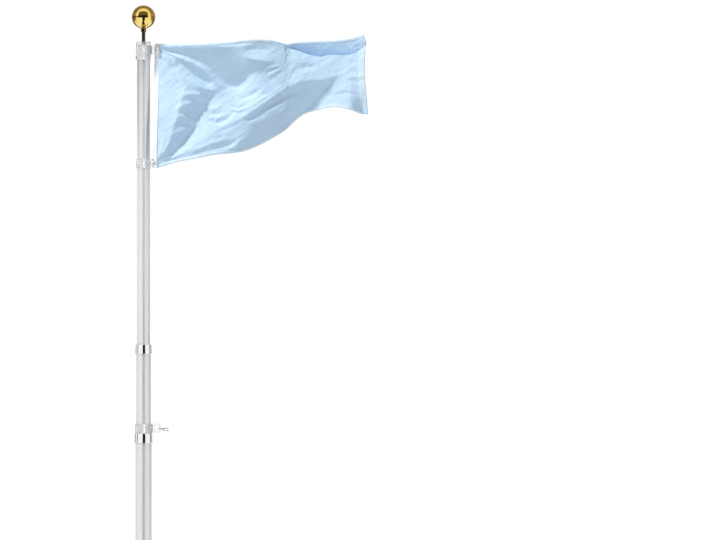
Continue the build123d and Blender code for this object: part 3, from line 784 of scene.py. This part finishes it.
flag_grid = designed_flag()
row_lengths = np.linalg.norm(np.diff(flag_grid, axis=0), axis=2).sum(0)
flag_size = (float(row_lengths.mean()) * SPARE_CLOTH, FLAG_TOP - FLAG_FOOT)
flat_u, flat_v = np.linspace(0, flag_size[0], COLUMNS + 1), np.linspace(flag_size[1], 0, ROWS + 1)
flag_uv = np.stack(np.meshgrid(flat_u, flat_v, indexing="ij"), axis=2)
flag_grid = settle(flag_grid, flag_uv)
flag = grid_slab("flag_blue_cloth", flag_grid, flag_uv, CLOTH_THICKNESS, flag_finish)


# Hems and stitching


def hem(name, grid, uv, outer):
    """A folded hem round a strip of the flag; its outer rows of points stand just past the cloth's edge."""
    strip = grid.copy()
    for edge, beside in outer:
        strip[edge] += (strip[edge] - strip[beside]) * HEM_REACH
    return grid_slab(name, strip, uv, HEM_THICKNESS, hem_finish)


def stitch_row(line, normals, lift):
    """Corners of the stitches along a line, on both faces of the cloth."""
    length = np.linalg.norm(np.diff(line, axis=0), axis=1).sum()
    path = resample(np.hstack((line, normals)), int(length / STITCH) + 1)
    middle = (path[1:] + path[:-1]) / 2
    place, normal = middle[:, :3], middle[:, 3:]
    half = (path[1:, :3] - path[:-1, :3]) * STITCH_HALF
    side = np.cross(normal, half)
    side *= THREAD / 2 / np.linalg.norm(side, axis=1)[:, None]
    up = normal * THREAD / 2
    corners = []
    for face in (1, -1):
        centre = place + normal * lift * face
        stitch = (centre - half, centre + half, centre + side, centre + up, centre - side, centre - up)
        corners.append(np.stack(stitch, axis=1))
    return np.vstack(corners).reshape(-1, 3)


def stitching(name, rows):
    """All the stitches of some rows as one mesh, each a small spindle: two ends and four corners round it."""
    verts = np.vstack(rows)
    around = ((2, 3), (3, 4), (4, 5), (5, 2))
    spindle = np.array([(0, b, a) for a, b in around] + [(1, a, b) for a, b in around])
    starts = np.arange(0, len(verts), STITCH_CORNERS)
    faces = (spindle[None] + starts[:, None, None]).reshape(-1, 3)
    return add_mesh(name, verts, faces, verts[:, [0, 2]], thread_finish)


fly_columns = round(FLY_HEM / flag_size[0] * COLUMNS)
hem_rows = round(LONG_HEM / flag_size[1] * ROWS)
body, fly = slice(0, COLUMNS + 1 - fly_columns), slice(COLUMNS - fly_columns, COLUMNS + 1)
top_rows, foot_rows = slice(0, hem_rows + 1), slice(ROWS - hem_rows, ROWS + 1)
every = slice(None)
top_edge, foot_edge = ((every, 0), (every, 1)), ((every, -1), (every, -2))
fly_edge = ((-1, every), (-2, every))
hems = [
    hem("flag_top_hem", flag_grid[body, top_rows], flag_uv[body, top_rows], [top_edge]),
    hem("flag_foot_hem", flag_grid[body, foot_rows], flag_uv[body, foot_rows], [foot_edge]),
    hem("flag_fly_hem", flag_grid[fly], flag_uv[fly], [fly_edge, top_edge, foot_edge]),
]
flag_normals = grid_normals(flag_grid)
seams = [(every, hem_rows - 1), (every, ROWS - hem_rows + 1), (COLUMNS - fly_columns + 1, every)]
seam_rows = [stitch_row(flag_grid[seam], flag_normals[seam], HEM_THICKNESS / 2) for seam in seams]
flag_thread = stitching("flag_stitching", seam_rows)


# Header tape


def on_tape(flat):
    """Places on the header and its normals there, for flat places (across, height)."""
    step = 0.002  # share of the drop, up and down, that tells which way the header runs
    points, normals = [], []
    for across, height in flat:
        share = (FLAG_TOP - height) / (FLAG_TOP - FLAG_FOOT)
        centre, direction = hoist_frame(share)
        run = hoist_frame(share + step)[0] - hoist_frame(share - step)[0]
        normal = np.cross(direction, run)
        points.append(centre + direction * across)
        normals.append(normal / np.linalg.norm(normal))
    return np.array(points), np.array(normals)


def tape_layout():
    """Flat places (across, height) and quads of the header, with a round hole at each ring."""
    half, cell = HEADER_WIDTH / 2, HEADER_WIDTH / TAPE_CELLS
    marks = [FLAG_TOP]
    for ring in (RING_HEIGHT, LOWER_RING_HEIGHT):
        marks += [ring + half, ring - half]
    marks.append(FLAG_FOOT)
    runs = [np.linspace(a, b, max(2, round((a - b) / cell) + 1)) for a, b in zip(marks, marks[1:])]
    heights = np.concatenate([runs[0]] + [run[1:] for run in runs[1:]])
    flat = np.stack(np.meshgrid(np.linspace(-half, half, TAPE_CELLS + 1), heights, indexing="ij"), axis=2)
    index = np.arange(flat[..., 0].size).reshape(flat.shape[:2])
    places, faces = [flat.reshape(-1, 2)], []
    first = 0
    for number, run in enumerate(runs):
        last = first + len(run) - 1
        block = index[:, first:last + 1]
        # Plain runs take turns with the squares round the holes
        if number % 2 == 0:
            faces.append(block.ravel()[grid_faces(*block.shape)])
        else:
            border = np.concatenate((block[:, 0], block[-1, 1:], block[-2::-1, -1], block[0, -2:0:-1]))
            middle = np.array((0.0, (run[0] + run[-1]) / 2))
            spokes = places[0][border] - middle
            circle = spokes / np.linalg.norm(spokes, axis=1)[:, None] * EYELET_RADIUS
            loops = [border]
            for share in (0.5, 1.0):
                loops.append(np.arange(len(border)) + sum(len(p) for p in places))
                places.append(middle + spokes * (1 - share) + circle * share)
            for outer, inner in zip(loops, loops[1:]):
                faces.append(np.stack((outer, np.roll(outer, -1), np.roll(inner, -1), inner), axis=1))
        first = last
    faces = np.vstack(faces)
    used, compact = np.unique(faces, return_inverse=True)
    return np.vstack(places)[used], compact.reshape(faces.shape)


tape_flat, tape_faces = tape_layout()
tape_points, tape_normals = on_tape(tape_flat)
header = slab("header_white_tape", tape_points, tape_normals, tape_faces, tape_flat, HEADER_THICKNESS,
              header_finish)
tape_heights = np.linspace(FLAG_TOP - SEAM_END, FLAG_FOOT + SEAM_END, SEAM_POINTS)
tape_seams = []
for seam_across in (-HEADER_WIDTH / 2 + SEAM_INSET, HEADER_WIDTH / 2 - SEAM_INSET):
    seam, seam_normals = on_tape([(seam_across, height) for height in tape_heights])
    tape_seams.append(stitch_row(seam, seam_normals, HEADER_THICKNESS / 2))
header_thread = stitching("header_stitching", tape_seams)

for piece in (flag, *hems, flag_thread, header, header_thread):
    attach(piece, "flag_hoist")
    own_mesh(piece)
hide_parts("flag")
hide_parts("flag_header")


# Studio


def stage_plane(name, size, place, turn, material):
    """A plane of the studio."""
    mesh = bpy.data.meshes.new(name)
    w, h = size[0] / 2, size[1] / 2
    mesh.from_pydata([(-w, -h, 0), (w, -h, 0), (w, h, 0), (-w, h, 0)], [], [(0, 1, 2, 3)])
    mesh.materials.append(material)
    plane = bpy.data.objects.new(name, mesh)
    plane.location = place
    plane.rotation_euler = [radians(a) for a in turn]
    scene.collection.objects.link(plane)
    return plane


def card(name, size, place, turn, color, mottled=0.0):
    """A studio card that only polished surfaces see, mottled to a lighter tone by a strength over 0."""
    material = new_material(name, (0, 0, 0), roughness=STAGE_ROUGHNESS, Specular_IOR_Level=0.0,
                            Emission_Color=(*color, 1), Emission_Strength=1.0)
    if mottled:
        patches = noise(material, scale=2.2, detail=4.0)
        glow = spread(material, patches, 0.6, 1.0 + mottled)
        link(material, glow, "Result", principled(material), "Emission Strength")
    plane = stage_plane(name, size, place, turn, material)
    plane.visible_camera = False
    plane.visible_diffuse = False
    plane.visible_transmission = False
    plane.visible_shadow = False
    plane.visible_volume_scatter = False


def area_lamp(name, place, target, size, power, color=(1, 1, 1)):
    """A round lamp that polished surfaces don't see."""
    lamp = bpy.data.lights.new(name, "AREA")
    lamp.shape = "DISK"
    lamp.size = size
    lamp.energy = power
    lamp.color = color
    thing = bpy.data.objects.new(name, lamp)
    thing.location = place
    thing.rotation_euler = (Vector(target) - Vector(place)).to_track_quat("-Z", "Y").to_euler()
    thing.visible_glossy = False
    scene.collection.objects.link(thing)


# Polished surfaces see the pale floor as white, as they see the world
floor_finish = new_material("floor", (0.86, 0.86, 0.86), roughness=STAGE_ROUGHNESS)
floor_paths = add_node(floor_finish, "ShaderNodeLightPath")
floor_glow = add_node(floor_finish, "ShaderNodeEmission", Color=WHITE)
mix_surface(floor_finish, floor_paths.outputs["Is Glossy Ray"], principled(floor_finish).outputs["BSDF"],
            floor_glow.outputs["Emission"], floor_finish.node_tree.nodes["Material Output"])
stage_plane("floor", (12, 12), (0.4, 0, -0.0005), (0, 0, 0), floor_finish)

# Cards in front of the pole, close round the ball, over it, and low down on the other sides
black, olive, brown = (0.02, 0.018, 0.015), (0.16, 0.13, 0.05), (0.13, 0.10, 0.07)
card("card_front_strip", (1.5, 5.2), (0.28, -3, 0.15), (90, 0, 0), black)
card("card_floor_strip", (1.1, 2.9), (0, -1.55, 0.01), (0, 0, 0), black)
card("card_front_near", (2.4, 0.22), (-0.65, -0.5, 2.69), (90, 0, 0), black)
card("card_left_near", (1.1, 0.2), (-0.9, 0.05, 2.7), (90, 0, 90), (0.05, 0.035, 0.02))
card("card_front_high", (1.2, 0.58), (0, -0.5, 3.09), (90, 0, 0), olive)
card("card_back", (2.2, 1.9), (0, 0.8, 3.33), (90, 0, 0), brown, mottled=3.0)
card("card_back_under", (2.4, 0.62), (0, 0.58, 2.42), (0, 0, 0), (0.06, 0.04, 0.02))
card("card_left", (1.0, 1.9), (-1.0, 0.33, 3.25), (90, 0, 90), brown, mottled=3.0)
card("card_right", (1.0, 1.9), (1.0, 0.33, 3.25), (90, 0, 90), (0.17, 0.11, 0.06), mottled=2.4)
card("card_roof", (8, 4), (0, 2.05, 7.7), (0, 0, 0), (0.28, 0.24, 0.12))
card("card_low_back", (9.6, 3.2), (0, 4, 0.65), (90, 0, 0), (0.36, 0.37, 0.38))
card("card_low_left", (0.5, 3.2), (-4, 0, 0.65), (90, 0, 90), (0.3, 0.31, 0.32))
card("card_low_right", (0.9, 3.2), (3.8, 1.24, 0.65), (90, 0, 90), (0.3, 0.31, 0.32))

# Small cards close round the two upper collars: the dark middle and edges of their reflections
for number, height in ((1, COLLAR_1_HEIGHT), (2, COLLAR_2_HEIGHT)):
    for turn, width in ((11, 0.18), (-86, 0.07), (-134, 0.1), (106, 0.09)):
        side = (COLLAR_CARD_REACH * sin(radians(turn)), -COLLAR_CARD_REACH * cos(radians(turn)), height)
        card(f"card_collar_{number}_{turn}", (width, 0.08), side, (90, 0, turn), black)

# The camera, polished surfaces and clear plastic see a white world; it lights the rest a dim sky blue
world = bpy.data.worlds.new("studio")
scene.world = world
world.use_nodes = True
world.node_tree.nodes.clear()
paths = add_node(world, "ShaderNodeLightPath")
seen = add_node(world, "ShaderNodeBackground", Color=WHITE, Strength=1.0)
ambient = add_node(world, "ShaderNodeBackground", Color=(0.77, 0.91, 1.0, 1), Strength=0.405)
outer_paths = math_node(world, "MAXIMUM", paths.outputs["Is Camera Ray"], paths.outputs["Is Glossy Ray"])
seen_paths = math_node(world, "MAXIMUM", outer_paths.outputs["Value"], paths.outputs["Is Transmission Ray"])
mix_surface(world, seen_paths.outputs["Value"], ambient.outputs["Background"], seen.outputs["Background"],
            add_node(world, "ShaderNodeOutputWorld"))

area_lamp("key", (-2.7, -1.95, 7.0), target=(0.3, 0, 2.2), size=0.9, power=330, color=(1.0, 0.985, 0.96))
area_lamp("fill", (1.5, -7.0, 1.5), target=(0.3, 0, 1.8), size=3.0, power=90)

# Level camera in front, far enough for the photo's flat perspective
camera_data = bpy.data.cameras.new("camera")
camera_data.lens = 153.8
camera_data.sensor_width = 36
camera = bpy.data.objects.new("camera", camera_data)
camera.location = (0.701, -10, 1.8385)
camera.rotation_euler = (radians(90), 0, 0)
scene.collection.objects.link(camera)
scene.camera = camera
scene.view_settings.view_transform = "Standard"
